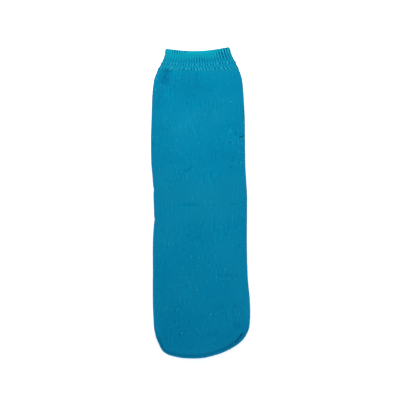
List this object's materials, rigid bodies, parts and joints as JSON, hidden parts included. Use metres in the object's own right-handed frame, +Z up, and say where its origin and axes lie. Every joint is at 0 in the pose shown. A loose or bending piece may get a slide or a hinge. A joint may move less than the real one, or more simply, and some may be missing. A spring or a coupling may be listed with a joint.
{
  "type": "slipper sock",
  "caption": "Heel-less terry knit slipper sock lying empty on its sole, with a short elastic cuff, a linked toe seam and raised grip chevrons under the foot.",
  "frame": {"origin": "on the floor, under the middle of the bounding box", "axes": "+Z up from the floor, +Y from the toe towards the cuff, +X to the right of someone who looks down on the sock from its toe's end with the cuff ahead"},
  "size_m": [0.1018, 0.32, 0.023],
  "materials": {
    "knit": "matt terry knit, faint ribs along the foot",
    "cuff": "matt elastic mock rib with a turned welt",
    "seam": "matt linked yarn",
    "grip": "satin raised print"
  },
  "bodies": {
    "root": {"knit_tube": "knit", "cuff": "cuff", "toe_seam": "seam"}
  },
  "joints": []
}
